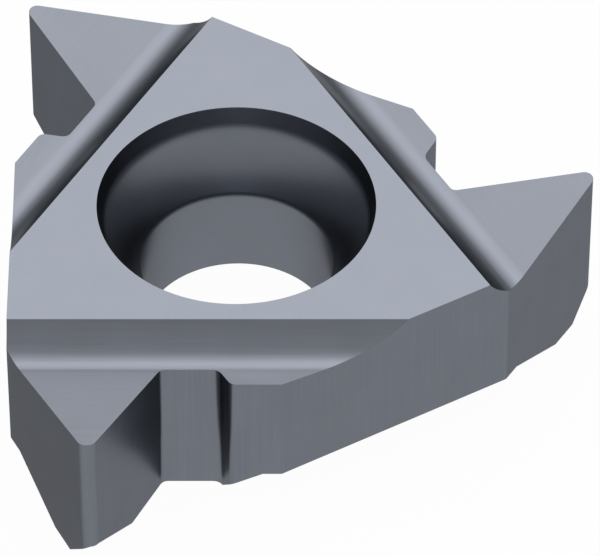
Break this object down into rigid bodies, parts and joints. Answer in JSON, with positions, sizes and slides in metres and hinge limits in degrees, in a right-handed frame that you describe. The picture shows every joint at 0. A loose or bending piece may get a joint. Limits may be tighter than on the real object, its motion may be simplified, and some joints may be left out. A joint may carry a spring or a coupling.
{
  "type": "thread turning insert",
  "caption": "Flat triangular carbide insert with a pointed threading tooth at each corner, chip grooves on top, a raised seat pad below and a rounded screw seat.",
  "frame": {"origin": "on the axis of the screw hole, at the level of the seat pad", "axes": "+Z along the screw hole, from the seat pad to the top land; -Y towards the tooth that the picture shows at the front, between its two flanks"},
  "size_m": [0.0124, 0.0132, 0.0039],
  "materials": {
    "carbide": "fine ground cemented carbide, dull metallic grey"
  },
  "bodies": {
    "root": {"insert": "carbide"}
  },
  "joints": []
}
